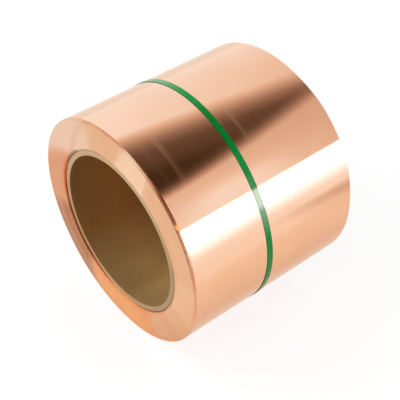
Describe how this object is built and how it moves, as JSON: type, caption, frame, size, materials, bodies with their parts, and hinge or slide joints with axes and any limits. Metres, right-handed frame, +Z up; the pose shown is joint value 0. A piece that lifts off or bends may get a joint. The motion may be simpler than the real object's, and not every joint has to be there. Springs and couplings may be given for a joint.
{
  "type": "copper strip coil",
  "caption": "Coil of thin copper strip wound on a cardboard core and held by a plastic strap, lying on its side.",
  "frame": {"origin": "on the floor, under the middle of the coil", "axes": "+Y along the coil's axis, from the front end to the rear end; +Z up"},
  "size_m": [0.4458, 0.364, 0.4458],
  "materials": {
    "copper": "bright rolled",
    "cardboard": "matte",
    "strap": "gloss"
  },
  "bodies": {
    "root": {"strip_coil": "copper", "cardboard_core": "cardboard", "strap": "strap"}
  },
  "joints": []
}
